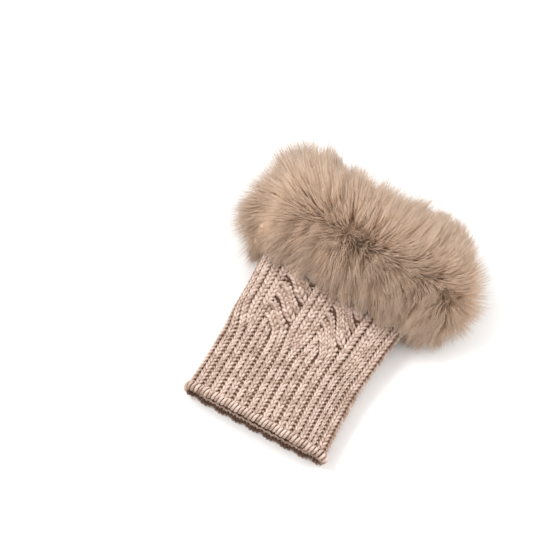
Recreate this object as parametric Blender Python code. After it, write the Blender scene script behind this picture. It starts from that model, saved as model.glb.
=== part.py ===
"""Knit wrist warmer with a deep fur cuff, lying flat on a surface.

The knit is one hollow tube, open at the hem and at the hand end, with ribs all round, two cables on its upper
face and a cast-on band at the hem. The fur is one closed form of pointed locks fused to a backing strip that
goes round the hand end. Metres, +Z up: hem towards -Y, fur towards +Y, cabled face on top. The origin is on
the floor, under the middle of the whole piece.
"""

import math

import bmesh
import bpy
import numpy as np
from mathutils import Matrix, Vector

# Knit tube
KNIT_WIDTH = 0.0975  # laid flat, at its widest, beside the fur
KNIT_LENGTH = 0.150  # hem to hand opening
WALL = 0.0022  # thickness of the knit in a gutter between ribs
HOLLOW = 0.0124  # inside height at the middle of the tube
RIB_HEIGHT = 0.0014  # how far a rib stands above its gutters
CABLE_HEIGHT = 0.0030  # how far a cable stands above its gutters
RIBBED_LENGTH = 0.053  # plain ribs, from the hem to where the cables start
CHANGEOVER = 0.007  # length in which the ribs turn into cables
SHIFTING = 0.024  # length in which the gutters move over to their places among the cables
HEM_BAND = 0.0035  # cast-on band, which closes the gutters at the hem
BAND_LEVEL = 0.2  # share of the band that has no gutters at all
BAND_HEIGHT = 0.75 * RIB_HEIGHT  # the band, and the knit under the fur, where it is pressed level
LIP = 0.0009  # how far the cast-on edge rounds out
LIFT = 0.0065  # how far the fur under it raises the tube off the floor
HEM_SLANT = 0.030  # rise of the hem towards the left, as a slope
FUR_SLANT = 0.085  # the same slope at the fur
UPPER_SQUARENESS = 2.7  # how square the upper half of the tube's section is, where 2 is an ellipse
LOWER_SQUARENESS = 3.6
RIB_SQUARENESS = 5.0  # how square a rib is between its gutters
CABLE_SQUARENESS = 3.5
STRAND_SQUARENESS = 2.6
STRAND_NOTCH = 0.62  # depth of the notches between a cable's strands, as a share of its height

# Fur cuff
STRIP_START = 0.108  # from the hem to the backing strip
STRIP_WIDTH = 0.038
PRESSED = (0.20, 0.05)  # where ahead of the strip the knit starts to be pressed level, and is, as shares of it
BACKING = 0.0015
CLEARANCE = 0.0006  # between the knit and the backing
PILE_CLEARANCE = 0.0014  # between the cables and the fur that hangs over them
BACKING_FLOOR = BAND_HEIGHT + CLEARANCE  # inside of the backing, above the gutters
SIDE_CROWDING = 0.040  # how much closer together the fur's lines are at the tube's tight sides
LOCK_CROWDING = 0.026  # the same for its locks
PILE = 0.0300  # length of the fur, standing
BODY_SHARE = 0.60  # how much of the pile is one dense body under the locks
LOCK_RADIUS = 0.0085
LOCK_SIDES = 5
LOCK_FLOOR = 0.0004  # height of the lowest side of a lock that is pressed flat against the floor
LOCK_ROOM = 0.43  # the most that a lock's radius takes of the height beside or under the tube
LOCK_FAN = 0.030  # how far round the tube the locks on top fan out to its sides
LOCK_STEEPEST = 88.0  # the furthest that a lock's tip leans back or ahead, in degrees

# Chance in the locks, the same every time: how far one strays round the tube, as a share of the space between
# two, how far it tilts in degrees, and its length and thickness as shares of the usual ones.
LOCK_SEED = 11
LOCK_STRAY = 0.15
LOCK_TILT = 6.0
LOCK_LENGTHS = (0.92, 1.05)
LOCK_WIDTHS = (0.88, 1.12)

# Fineness of the faceted surfaces
OUTLINE_STEPS = 1440
TANGENT_REACH = 0.002  # share of the round to each side that gives a surface its direction
RIB_LINES = (0.00, 0.13, 0.36, 0.64, 0.87)  # lengthwise lines of a rib on the upper face, gutter to gutter
UNDER_RIB_LINES = (0.00, 0.16, 0.50, 0.84)
BAND_ROWS = (0.0, 0.6, 1.2)  # rows of points at the hem, as shares of the band
RIBBED_ROWS = 4
CABLED_ROWS = 18
COVERED_ROWS = 4
INSIDE_ROWS = 8
BODY_AROUND = 52
BODY_ACROSS = 9

# The tube from hem (0) to hand end (1): width as a share of KNIT_WIDTH, sideways shift as a share of it, lift
# as a share of LIFT, and inside height as a share of HOLLOW.
TUBE_SECTIONS = {
    "along": (0.00, 0.18, 0.36, 0.52, 0.64, 0.76, 1.00),
    "width": (0.93, 0.92, 0.93, 0.96, 1.00, 1.00, 0.96),
    "shift": (-0.022, -0.020, -0.012, 0.004, 0.016, 0.020, 0.020),
    "lift": (0.00, 0.00, 0.12, 0.45, 0.82, 1.00, 1.00),
    "hollow": (0.90, 0.95, 1.00, 1.00, 0.96, 0.93, 0.96),
}

# Gutters on the upper face, left edge to right edge, each between two ribs. The places are shares of the face:
# first in the plain ribs, then among the cables. The last column is how much of the gutter is left among the
# cables, where some of them run out under a cable or a wide panel.
GUTTERS = {
    "ribbed": (0.010, 0.115, 0.226, 0.325, 0.424, 0.527, 0.634, 0.735, 0.836, 0.900),
    "cabled": (-0.010, 0.052, 0.220, 0.310, 0.399, 0.557, 0.648, 0.740, 0.853, 0.909),
    "kept": (1.0, 1.0, 1.0, 0.0, 1.0, 1.0, 0.0, 1.0, 0.3, 1.0),
}
UNDER_RIBS = 10  # plain ribs across the lower face

# Each cable lies between two gutters of the list above. The notch is the lowest one on its left side, measured
# from the hem, and a strand falls this share of a turn as it crosses from left to right.
CABLES = (
    {"from_gutter": 2, "to_gutter": 4, "turn": 0.0140, "notch": 0.0590, "fall": 0.82},
    {"from_gutter": 5, "to_gutter": 7, "turn": 0.0192, "notch": 0.0642, "fall": 1.02},
)

# How far the fur reaches round the tube, from its left edge (0) over the top (0.25), its right edge (0.5) and
# the underside (0.75): outwards, towards the fingers and back over the knit, as shares of PILE. Sweep turns it
# towards the fingers, in degrees.
FUR_REACH = {
    "round": (0.00, 0.10, 0.25, 0.40, 0.50, 0.60, 0.75, 0.90),
    "out": (1.00, 0.98, 0.95, 1.05, 1.26, 0.70, 0.36, 0.60),
    "forward": (0.95, 1.08, 0.84, 0.88, 1.00, 0.80, 0.60, 0.75),
    "back": (0.55, 0.62, 0.72, 0.72, 0.62, 0.42, 0.40, 0.45),
    "sweep": (14.0, 8.0, 0.0, -3.0, 0.0, 0.0, 0.0, 6.0),
}

# Rows of locks across the pile: the way their roots and tips point, from back over the knit (-90) to the
# fingers (90), and how many there are round the tube. They part along the middle of the strip.
LOCK_ROWS = {
    "root": (-42.0, -6.0, 2.0, 14.0, 48.0),
    "tip": (-86.0, -56.0, -14.0, 46.0, 86.0),
    "count": (18, 16, 14, 16, 18),
}
LOCK_BATCHES = (3, 2)  # locks of every third row and second place stand clear, and are fused at once

# A lock from root to tip: reach as a share of the pile's, width and thickness as shares of LOCK_RADIUS.
LOCK_SHAPE = {
    "place": (0.00, 0.34, 0.70, 1.00),
    "reach": (0.42, 0.68, 0.86, 1.00),
    "width": (0.80, 1.00, 0.68, 0.10),
    "thickness": (0.50, 0.62, 0.42, 0.10),
}


def material(name, colour, roughness):
    """A Principled material of one colour."""
    made = bpy.data.materials.new(name)
    made.use_nodes = True
    shader = made.node_tree.nodes["Principled BSDF"]
    shader.inputs["Base Color"].default_value = (*colour, 1.0)
    shader.inputs["Roughness"].default_value = roughness
    shader.inputs["Metallic"].default_value = 0.0
    return made


def smooth_step(low, high, value):
    share = np.clip((value - low) / (high - low), 0.0, 1.0)
    return share * share * (3.0 - 2.0 * share)


def along_table(table, key, column, at):
    """A smooth value from a table, between its rows."""
    places, values = np.array(table[key]), np.array(table[column])
    slopes = np.gradient(values, places)
    row = int(np.clip(np.searchsorted(places, at) - 1, 0, len(places) - 2))
    span = places[row + 1] - places[row]
    t = float(np.clip((at - places[row]) / span, 0.0, 1.0))
    start, end = values[row], values[row + 1]
    leave, arrive = slopes[row] * span, slopes[row + 1] * span
    return (
        (2 * t**3 - 3 * t**2 + 1) * start
        + (t**3 - 2 * t**2 + t) * leave
        + (-2 * t**3 + 3 * t**2) * end
        + (t**3 - t**2) * arrive
    )


def round_table(column, share):
    """A smooth value of FUR_REACH at a place round the tube, with no step where the round closes."""
    places, values = FUR_REACH["round"], FUR_REACH[column]
    closed = {
        "round": (places[-1] - 1.0, *places, 1.0, 1.0 + places[1]),
        column: (values[-1], *values, values[0], values[1]),
    }
    return along_table(closed, "round", column, share % 1.0)


def section_outline():
    """The tube's flattened section, one unit to each side and up and down, from its left edge over the top and
    back underneath: the share of the way walked at each point, and the points."""
    turn = np.linspace(math.pi, -math.pi, OUTLINE_STEPS + 1)
    c, s = np.cos(turn), np.sin(turn)
    power = np.where(s >= 0, 2.0 / UPPER_SQUARENESS, 2.0 / LOWER_SQUARENESS)
    across = np.sign(c) * np.abs(c) ** power
    up = np.sign(s) * np.abs(s) ** power
    outer_height = HOLLOW / 2 + WALL
    steps = np.hypot(np.diff(across) * KNIT_WIDTH / 2, np.diff(up) * outer_height)
    walked = np.concatenate([[0.0], np.cumsum(steps)])
    half = len(turn) // 2
    upper = 0.5 * walked[: half + 1] / walked[half]
    lower = 0.5 + 0.5 * (walked[half:] - walked[half]) / (walked[-1] - walked[half])
    return np.concatenate([upper, lower[1:]]), across, up


OUTLINE = section_outline()


def tube_surface(share, along, out):
    """A point of the tube at a share of the way round, at a distance from the hem, and this far out from the
    floor of the gutters."""
    shares, across, up = OUTLINE
    share = share % 1.0
    at = along / KNIT_LENGTH
    width = along_table(TUBE_SECTIONS, "along", "width", at) * KNIT_WIDTH / 2
    shift = along_table(TUBE_SECTIONS, "along", "shift", at) * KNIT_WIDTH
    lift = max(along_table(TUBE_SECTIONS, "along", "lift", at), 0.0) * LIFT
    height = along_table(TUBE_SECTIONS, "along", "hollow", at) * HOLLOW / 2 + WALL
    ahead, behind = (share + TANGENT_REACH) % 1.0, (share - TANGENT_REACH) % 1.0
    tangent = np.array(
        [
            (np.interp(ahead, shares, across) - np.interp(behind, shares, across)) * width,
            (np.interp(ahead, shares, up) - np.interp(behind, shares, up)) * height,
        ]
    )
    tangent /= np.linalg.norm(tangent)
    x = np.interp(share, shares, across) * width - tangent[1] * out
    z = np.interp(share, shares, up) * height + tangent[0] * out
    slant = HEM_SLANT + (FUR_SLANT - HEM_SLANT) * smooth_step(0.0, STRIP_START, along)
    return Vector((x + shift, along - slant * x, z + height + RIB_HEIGHT + lift))


def rib_profile(fraction, left_kept, right_kept):
    """Height of a rib from one gutter (0) to the next (1), as a share of the whole height."""
    side = 2.0 * fraction - 1.0
    kept = left_kept if side < 0 else right_kept
    return 1.0 - kept * abs(side) ** RIB_SQUARENESS


def cable_profile(cable, across, along):
    """Height of a two-strand cable, across it from -1 to 1, as a share of the whole height."""
    half_fall = 0.5 * cable["fall"] * cable["turn"]
    past_notch = along - cable["notch"] + half_fall * (1.0 + math.sin(math.pi * across / 2))
    strand = (past_notch / cable["turn"]) % 1.0
    ridge = 1.0 - STRAND_NOTCH * abs(2.0 * strand - 1.0) ** STRAND_SQUARENESS
    return ridge * (1.0 - abs(across) ** CABLE_SQUARENESS)


def knit_columns():
    """Each lengthwise line of the knit's surface: its places among the plain ribs and among the cables, as
    shares of the whole round, and what its height is worked out from."""
    columns = []
    ribbed, cabled, kept = GUTTERS["ribbed"], GUTTERS["cabled"], GUTTERS["kept"]

    def add_column(plain, worked, fraction, sides, cable):
        columns.append(
            {"ribbed": plain, "cabled": worked, "fraction": fraction, "sides": sides, "cable": cable}
        )

    for gutter in range(len(ribbed) - 1):
        cable = next((c for c in CABLES if c["from_gutter"] <= gutter < c["to_gutter"]), None)
        for fraction in RIB_LINES:
            plain = ribbed[gutter] + fraction * (ribbed[gutter + 1] - ribbed[gutter])
            worked = cabled[gutter] + fraction * (cabled[gutter + 1] - cabled[gutter])
            add_column(plain / 2, worked / 2, fraction, (kept[gutter], kept[gutter + 1]), cable)
    first, last = columns[0], (ribbed[-1] / 2, cabled[-1] / 2)
    for rib in range(UNDER_RIBS):
        for fraction in UNDER_RIB_LINES:
            part = (rib + fraction) / UNDER_RIBS
            plain = last[0] + part * (1.0 + first["ribbed"] - last[0])
            worked = last[1] + part * (1.0 + first["cabled"] - last[1])
            add_column(plain, worked, fraction, (1.0, 1.0), None)
    return columns


def knit_height(column, along):
    """How far the knit stands out of its gutters at a column, at a distance from the hem."""
    worked = smooth_step(RIBBED_LENGTH - CHANGEOVER / 2, RIBBED_LENGTH + CHANGEOVER / 2, along)
    plain = RIB_HEIGHT * rib_profile(column["fraction"], 1.0, 1.0)
    height = RIB_HEIGHT * rib_profile(column["fraction"], *column["sides"])
    cable = column["cable"]
    if cable:
        left, right = (GUTTERS["cabled"][cable[end]] / 2 for end in ("from_gutter", "to_gutter"))
        across = 2.0 * (column["cabled"] - left) / (right - left) - 1.0
        height = CABLE_HEIGHT * cable_profile(cable, across, along)
    height = plain + (height - plain) * worked
    height = BAND_HEIGHT + (height - BAND_HEIGHT) * smooth_step(BAND_LEVEL * HEM_BAND, HEM_BAND, along)
    pressed = smooth_step(*(STRIP_START - share * STRIP_WIDTH for share in PRESSED), along)
    return height + (BAND_HEIGHT - height) * pressed


def column_share(column, along):
    """A column's place round the tube: it moves over slowly where the ribs turn into cables."""
    worked = smooth_step(RIBBED_LENGTH - SHIFTING / 2, RIBBED_LENGTH + SHIFTING / 2, along)
    return column["ribbed"] + (column["cabled"] - column["ribbed"]) * worked


def knit_rows():
    """Distances from the hem: close together through the cables, and far apart where the ribs run straight."""
    hem = [share * HEM_BAND for share in BAND_ROWS]
    cables_start = RIBBED_LENGTH - CHANGEOVER
    cables_end = STRIP_START - PRESSED[1] * STRIP_WIDTH
    ribs = list(np.linspace(hem[-1], cables_start, RIBBED_ROWS + 1))[1:]
    cables = list(np.linspace(cables_start, cables_end, CABLED_ROWS + 1))[1:]
    covered = list(np.linspace(STRIP_START, KNIT_LENGTH, COVERED_ROWS))
    return hem + ribs + cables + covered


def ring_mesh(name, rings):
    """A mesh of rings of equal size, each joined to the next and the last to the first."""
    mesh = bpy.data.meshes.new(name)
    bm = bmesh.new()
    made = [[bm.verts.new(point) for point in ring] for ring in rings]
    for lower, upper in zip(made, made[1:] + made[:1]):
        for k in range(len(lower)):
            after = (k + 1) % len(lower)
            bm.faces.new((lower[k], lower[after], upper[after], upper[k]))
    bmesh.ops.recalc_face_normals(bm, faces=bm.faces)
    bm.to_mesh(mesh)
    bm.free()
    mesh.shade_smooth()
    return mesh


def add_object(name, mesh, look):
    made = bpy.data.objects.new(name, mesh)
    mesh.materials.append(look)
    bpy.context.scene.collection.objects.link(made)
    return made


def knit_tube(look):
    """The knit with its hollow, and a rounded cast-on edge between its outer and inner faces."""
    columns = knit_columns()
    rings = []
    for y in knit_rows():
        rings.append([tube_surface(column_share(c, y), y, knit_height(c, y)) for c in columns])
    for y in np.linspace(KNIT_LENGTH, 0.0, INSIDE_ROWS):
        rings.append([tube_surface(column_share(c, y), y, -WALL) for c in columns])
    middle = 0.5 * (BAND_HEIGHT - WALL)
    edge = Vector((0.0, -LIP, 0.0))
    rings.append([tube_surface(column_share(c, 0.0), 0.0, middle) + edge for c in columns])
    return add_object("knit_tube", ring_mesh("knit_tube", rings), look)


def pile_place(share, angle, reach):
    """Where in the pile a point lies: its distance from the hem, and how far it is out of the backing. Its
    angle is between back over the knit (-90 degrees) and the fingers (90), its reach a share of the pile's."""
    out = round_table("out", share) * PILE * reach
    along = round_table("forward" if angle > 0 else "back", share) * PILE * reach
    turned = math.radians(angle)
    lean = math.tan(math.radians(round_table("sweep", share)))
    middle = STRIP_START + STRIP_WIDTH / 2
    rise = max(math.cos(turned), 0.0) * out
    return middle + math.sin(turned) * (STRIP_WIDTH / 2 + along) + rise * lean, rise


def pile_floor(along):
    """How far above the gutters the pile starts: on the backing, or clear of the cables that it hangs over."""
    backing = BACKING_FLOOR + BACKING
    return max(backing, CABLE_HEIGHT + PILE_CLEARANCE) if along < STRIP_START else backing


def cuff_point(share, along, out):
    """A point beside the tube where the cuff goes on past its hand end."""
    point = tube_surface(share, min(along, KNIT_LENGTH), out)
    point.y += max(along - KNIT_LENGTH, 0.0)
    return point


def crowded(share, amount):
    """Moves an even place round the tube towards its nearer side."""
    return share - amount * math.sin(4.0 * math.pi * share)


def fur_body():
    """The backing strip with the dense part of the pile on it, flat underneath where it lies on the floor."""
    angles = np.linspace(-90.0, 90.0, BODY_ACROSS)
    rings = []
    for k in range(BODY_AROUND):
        share = crowded(k / BODY_AROUND, SIDE_CROWDING)
        ring = []
        for angle in angles:
            along, rise = pile_place(share, angle, BODY_SHARE)
            point = cuff_point(share, along, pile_floor(along) + rise)
            point.z = max(point.z, 0.0)
            ring.append(point)
        for y in (STRIP_START + STRIP_WIDTH, STRIP_START + STRIP_WIDTH / 2, STRIP_START):
            ring.append(cuff_point(share, y, BACKING_FLOOR))
        rings.append(ring)
    return ring_mesh("fur_body", rings)


def lock_rings(share, root, tip, length, radius):
    """One pointed lock of fur as rings of points, from inside the body, and its tip. It lies over the body
    from its root's angle to its tip's, and is thinner where there is less room for it under the tube."""
    from_top = 4.0 * (share % 1.0) - 1.0
    fan = LOCK_FAN * math.sin(math.pi * from_top) if abs(from_top) < 1.0 else 0.0
    path, outwards, sizes = [], [], []
    for t, reach, width, thickness in zip(*LOCK_SHAPE.values()):
        place = share + fan * t
        along, rise = pile_place(place, root + (tip - root) * t, length * reach)
        floor = pile_floor(along)
        room = LOCK_ROOM * cuff_point(place, along, floor).z
        size = (radius * width, min(radius * thickness, room))
        point = cuff_point(place, along, floor + max(rise, size[1]))
        point.z = max(point.z, LOCK_FLOOR + size[1])
        outwards.append(cuff_point(place, along, floor + PILE) - cuff_point(place, along, floor))
        path.append(point)
        sizes.append(size)
    rings = []
    for k, (width, thickness) in enumerate(sizes[:-1]):
        ahead = (path[k + 1] - path[max(k - 1, 0)]).normalized()
        side = ahead.cross(outwards[k]).normalized()
        other = side.cross(ahead)
        turns = [2 * math.pi * (n + 0.25) / LOCK_SIDES for n in range(LOCK_SIDES)]
        ring = [path[k] + width * math.cos(t) * side + thickness * math.sin(t) * other for t in turns]
        rings.append([Vector((point.x, point.y, max(point.z, LOCK_FLOOR))) for point in ring])
    return rings, path[-1]


def lock_places():
    """Where each lock stands, its length and its thickness, with a little chance in each."""
    chance = np.random.default_rng(LOCK_SEED)
    for row, (root, tip, count) in enumerate(zip(*LOCK_ROWS.values())):
        for k in range(count):
            stray = chance.uniform(-LOCK_STRAY, LOCK_STRAY)
            share = crowded((k + 0.5 * (row % 2) + stray) / count, LOCK_CROWDING)
            tilt = chance.uniform(-LOCK_TILT, LOCK_TILT)
            angles = (root + tilt, max(-LOCK_STEEPEST, min(LOCK_STEEPEST, tip + tilt)))
            length = chance.uniform(*LOCK_LENGTHS)
            radius = LOCK_RADIUS * chance.uniform(*LOCK_WIDTHS)
            batch = LOCK_BATCHES[1] * (row % LOCK_BATCHES[0]) + k % LOCK_BATCHES[1]
            yield batch, (share, *angles, length, radius)


def fur_locks(batch):
    """The locks of one batch as one mesh of closed spikes that stand clear of each other."""
    mesh = bpy.data.meshes.new("fur_locks")
    bm = bmesh.new()
    for own_batch, place in lock_places():
        if own_batch != batch:
            continue
        rings, tip = lock_rings(*place)
        made = [[bm.verts.new(point) for point in ring] for ring in rings]
        end = bm.verts.new(tip)
        bm.faces.new(made[0][::-1])
        for lower, upper in zip(made, made[1:]):
            for k in range(LOCK_SIDES):
                after = (k + 1) % LOCK_SIDES
                bm.faces.new((lower[k], lower[after], upper[after], upper[k]))
        for k in range(LOCK_SIDES):
            bm.faces.new((made[-1][k], made[-1][(k + 1) % LOCK_SIDES], end))
    bmesh.ops.recalc_face_normals(bm, faces=bm.faces)
    bm.to_mesh(mesh)
    bm.free()
    return mesh


def fuse(target, other):
    """Joins another closed mesh to this one. EXACT leaves open edges where many locks meet."""
    step = target.modifiers.new(other.name, "BOOLEAN")
    step.operation = "UNION"
    step.solver = "MANIFOLD"
    step.object = other


def keep_main_body(mesh):
    """Drops the slivers that fusing leaves between locks: all that isn't joined to the largest body."""
    bm = bmesh.new()
    bm.from_mesh(mesh)
    bodies, seen = [], set()
    for start in bm.verts:
        if start in seen:
            continue
        body, waiting = [], [start]
        seen.add(start)
        while waiting:
            vert = waiting.pop()
            body.append(vert)
            near = [edge.other_vert(vert) for edge in vert.link_edges]
            waiting += [other for other in near if other not in seen]
            seen.update(near)
        bodies.append(body)
    bodies.sort(key=len)
    bmesh.ops.delete(bm, geom=[vert for body in bodies[:-1] for vert in body], context="VERTS")
    bm.to_mesh(mesh)
    bm.free()


def fur_cuff(look):
    """The body with all the locks fused to it, a batch at a time."""
    body = add_object("fur_body", fur_body(), look)
    batches = []
    for batch in range(math.prod(LOCK_BATCHES)):
        batches.append(add_object(f"fur_locks_{batch}", fur_locks(batch), look))
        fuse(body, batches[-1])
    graph = bpy.context.evaluated_depsgraph_get()
    mesh = bpy.data.meshes.new_from_object(body.evaluated_get(graph))
    keep_main_body(mesh)
    mesh.name = "fur_cuff"
    mesh.shade_smooth()
    for done in (body, *batches):
        bpy.data.objects.remove(done, do_unlink=True)
    cuff = bpy.data.objects.new("fur_cuff", mesh)
    bpy.context.scene.collection.objects.link(cuff)
    return cuff


def stand_at_origin():
    """Moves every mesh so that the origin is on the floor, under the middle of the whole piece."""
    meshes = [shown.data for shown in bpy.context.scene.objects]
    points = np.array([vert.co for mesh in meshes for vert in mesh.vertices])
    low, high = points.min(axis=0), points.max(axis=0)
    to_origin = Vector((-(low[0] + high[0]) / 2, -(low[1] + high[1]) / 2, -low[2]))
    for mesh in meshes:
        mesh.transform(Matrix.Translation(to_origin))


def main():
    for old in list(bpy.data.objects):
        bpy.data.objects.remove(old, do_unlink=True)
    wool = material("wool_knit", (0.62, 0.47, 0.38), 0.9)
    fur = material("fur", (0.40, 0.30, 0.23), 0.8)
    knit_tube(wool)
    fur_cuff(fur)
    stand_at_origin()


main()
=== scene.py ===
"""Looks of a knit wrist warmer with a deep fur cuff, lying flat on a pale floor.

The knit is built stitch by stitch on the surface of the tube: two V-shaped stitch columns to each rib, strands
of such columns that cross in the cables, purl bumps in the gutters and inside, and cast-on loops over the hem.
The fur is a dense undercoat with combed hairs on it. Metres, +Z up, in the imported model's own frame.
"""

import functools
import math

import bpy
import numpy as np
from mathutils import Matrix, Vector


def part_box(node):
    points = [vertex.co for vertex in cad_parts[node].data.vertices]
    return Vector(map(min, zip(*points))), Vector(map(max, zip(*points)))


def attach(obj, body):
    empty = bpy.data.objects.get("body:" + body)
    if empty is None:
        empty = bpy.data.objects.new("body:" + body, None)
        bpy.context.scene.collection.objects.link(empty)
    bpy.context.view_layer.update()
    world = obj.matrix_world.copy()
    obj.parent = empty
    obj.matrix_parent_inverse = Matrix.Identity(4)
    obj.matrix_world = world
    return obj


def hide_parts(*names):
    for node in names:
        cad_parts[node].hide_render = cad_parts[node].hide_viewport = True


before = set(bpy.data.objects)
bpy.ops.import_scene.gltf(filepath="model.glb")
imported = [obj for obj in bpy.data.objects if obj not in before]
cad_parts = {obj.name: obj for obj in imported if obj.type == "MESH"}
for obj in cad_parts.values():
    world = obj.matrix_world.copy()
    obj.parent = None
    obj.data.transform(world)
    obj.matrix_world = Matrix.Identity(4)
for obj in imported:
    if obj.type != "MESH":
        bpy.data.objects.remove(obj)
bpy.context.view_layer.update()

# Knit tube, as in the solids
KNIT_WIDTH = 0.0975
KNIT_LENGTH = 0.150
WALL = 0.0022
HOLLOW = 0.0124
RIB_HEIGHT = 0.0014
CABLE_HEIGHT = 0.0030
RIBBED_LENGTH = 0.053
SHIFTING = 0.024
LIFT = 0.0065
HEM_SLANT = 0.030
FUR_SLANT = 0.085
UPPER_SQUARENESS = 2.7
LOWER_SQUARENESS = 3.6
CABLE_SQUARENESS = 3.5
STRAND_SQUARENESS = 2.6
STRAND_NOTCH = 0.62
BAND_HEIGHT = 0.75 * RIB_HEIGHT
OUTLINE_STEPS = 1440
TANGENT_REACH = 0.002
BOX_SAMPLES = (361, 61)

# Fur cuff, as in the solids
STRIP_START = 0.108
STRIP_WIDTH = 0.038
BACKING = 0.0015
CLEARANCE = 0.0006
PILE_CLEARANCE = 0.0014
BACKING_FLOOR = BAND_HEIGHT + CLEARANCE
SIDE_CROWDING = 0.040
PILE = 0.0300

TUBE_SECTIONS = {
    "along": (0.00, 0.18, 0.36, 0.52, 0.64, 0.76, 1.00),
    "width": (0.93, 0.92, 0.93, 0.96, 1.00, 1.00, 0.96),
    "shift": (-0.022, -0.020, -0.012, 0.004, 0.016, 0.020, 0.020),
    "lift": (0.00, 0.00, 0.12, 0.45, 0.82, 1.00, 1.00),
    "hollow": (0.90, 0.95, 1.00, 1.00, 0.96, 0.93, 0.96),
}
GUTTERS = {
    "ribbed": (0.010, 0.115, 0.226, 0.325, 0.424, 0.527, 0.634, 0.735, 0.836, 0.900),
    "cabled": (-0.010, 0.052, 0.220, 0.310, 0.399, 0.557, 0.648, 0.740, 0.853, 0.909),
    "kept": (1.0, 1.0, 1.0, 0.0, 1.0, 1.0, 0.0, 1.0, 0.3, 1.0),
}
UNDER_RIBS = 10
CABLES = (
    {"from_gutter": 2, "to_gutter": 4, "turn": 0.0140, "notch": 0.0590, "fall": 0.82},
    {"from_gutter": 5, "to_gutter": 7, "turn": 0.0192, "notch": 0.0642, "fall": 1.02},
)
FUR_REACH = {
    "round": (0.00, 0.10, 0.25, 0.40, 0.50, 0.60, 0.75, 0.90),
    "out": (1.00, 0.98, 0.95, 1.05, 1.26, 0.70, 0.36, 0.60),
    "forward": (0.95, 1.08, 0.84, 0.88, 1.00, 0.80, 0.60, 0.75),
    "back": (0.55, 0.62, 0.72, 0.72, 0.62, 0.42, 0.40, 0.45),
    "sweep": (14.0, 8.0, 0.0, -3.0, 0.0, 0.0, 0.0, 6.0),
}

# Stitches
RIBBED_ROW = 0.0026  # from one stitch to the next above it, in the ribs
CABLED_ROW = 0.0029
FIRST_ROW = 0.0022  # the lowest stitch's distance from the hem
RIB_STITCH = 0.40  # width of a stitch column, as a share of its rib, two to a rib
RIB_FILL = 0.93  # share of a rib's width that its stitches' width is taken from
STITCH_DEPTH = 0.0008  # how far a stitch's middle lies below the knit's outer face
UNDER_DEPTH = 0.0014  # the same under the tube, where its weight presses them flat
KNIT_END = 0.121  # under the fur, past which no stitch shows
GUTTER_DEPTH = 0.0008  # how far the purl ground sinks below the solid's gutters
RIB_ROLL = 30.0  # how far a rib's stitches lean to its sides, in degrees
PROBE = 0.001  # step over the tube by which a direction on it is found
FLOOR_GAP = 0.0003  # the least height of yarn and hair above the floor

# Columns and gutters that start, or end, where the ribs turn into cables
TURN_START = RIBBED_LENGTH - 0.004
TURN_END = RIBBED_LENGTH + 0.008
TURN_DEPTH = 0.0012

# Strands of the cables
STRAND_COLUMNS = (2, 3)  # stitch columns to each strand of the two cables
STRAND_SPREAD = {2: 0.205, 3: 0.295}  # from a strand's middle to its outer columns, in strands
STRAND_FILL = 1.10  # width of its columns, as a share of an even part of it
STRAND_TAPER = 0.32  # share of that width that it loses at the cable's sides
STRAND_DIVE = 0.0014  # how far a strand dips at the cable's sides
STRAND_REACH = 0.95  # how far across the cable it goes, from -1 to 1
CABLE_ROLL = 32.0
RIB_COLUMN = 0.21  # from a rib's middle to its columns, in half cables
RISING = (-0.008, 0.002)  # where a rib rises into its strand, from where it turns
MIDDLE_DEPTH = 0.0015  # how far a third column is hidden below the rib
TUCKED_AT = 0.16  # how far up the first strand the other rib goes under it
TUCK_LENGTH = 0.007
TUCK_DEPTH = 0.0016
PATH_POINTS = 60
OVER_POINTS = 40
PATH_GAP = 0.0005
PATH_EASING = 12
UNDER_FUR = 0.01

# Purl bumps and cast-on loops
BAR_WIDTH = 0.0030
UNDER_BAR_WIDTH = 0.0026
INNER_COLUMNS = 44
INNER_GAP = 0.0003
LOOPS = 84
LOOP_SIZE = (1.7, 0.0030, 0.0042)  # across in even parts of the hem, up and out
LOOP_HEIGHT = 0.3  # of the ribs' height
HEM_SCALLOP = 0.0011  # how far the hem swells at each rib

# The knit's own thickness under the stitches
WALL_AROUND = 320
WALL_OUTSIDE = 52
WALL_INSIDE = 20
WALL_START = 0.0015
WALL_END = KNIT_LENGTH - 0.001
WALL_FLOOR = -0.0004 - GUTTER_DEPTH
WALL_RISE = GUTTER_DEPTH + 0.0006
WALL_ROUNDING = 0.6
CABLE_WALL_DEPTH = 0.0016
# Painted shade on the wall: dark in the gutters, lighter up the ribs, darker under the cables and inside.
WALL_PAINTED_SHADE = {"gutter": -0.25, "per_metre": 130.0, "top": 0.0014, "cable": 0.30, "inside": 0.10}

# Stitch columns of the upper face that aren't in a cable, from the left. A place is counted in gutters, so 1.5
# is the middle of the rib after gutter 1. Widths among the cables are in mm, leans in degrees. A new one starts
# where the ribs turn into cables.
COLUMNS = {
    "ribbed": (0.285, 0.715, 1.285, 1.500, 1.715, 4.285, 4.500, 4.715, 7.285, 7.715, 8.285, 8.715),
    "cabled": (0.260, 0.740, 1.170, 1.500, 1.830, 4.170, 4.500, 4.830, 7.270, 7.780, 8.240, 8.760),
    "width": (3.1, 3.1, 5.2, 5.5, 5.2, 4.8, 5.2, 4.8, 5.2, 5.2, 3.1, 3.1),
    "lean": (-28, 28, -26, 0, 26, -26, 0, 26, -28, 22, -24, 28),
    "new": (0, 0, 0, 1, 0, 0, 1, 0, 0, 0, 0, 0),
}

# One leg of a V stitch: across in stitch widths, up in rows, out in stitch widths, and the yarn's radius.
LEG = {
    "across": (0.04, 0.11, 0.24, 0.35, 0.41),
    "up": (-0.50, 0.00, 0.50, 1.02, 1.45),
    "out": (-0.36, -0.04, 0.08, -0.02, -0.36),
    "radius": (0.15, 0.21, 0.225, 0.21, 0.15),
}
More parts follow.
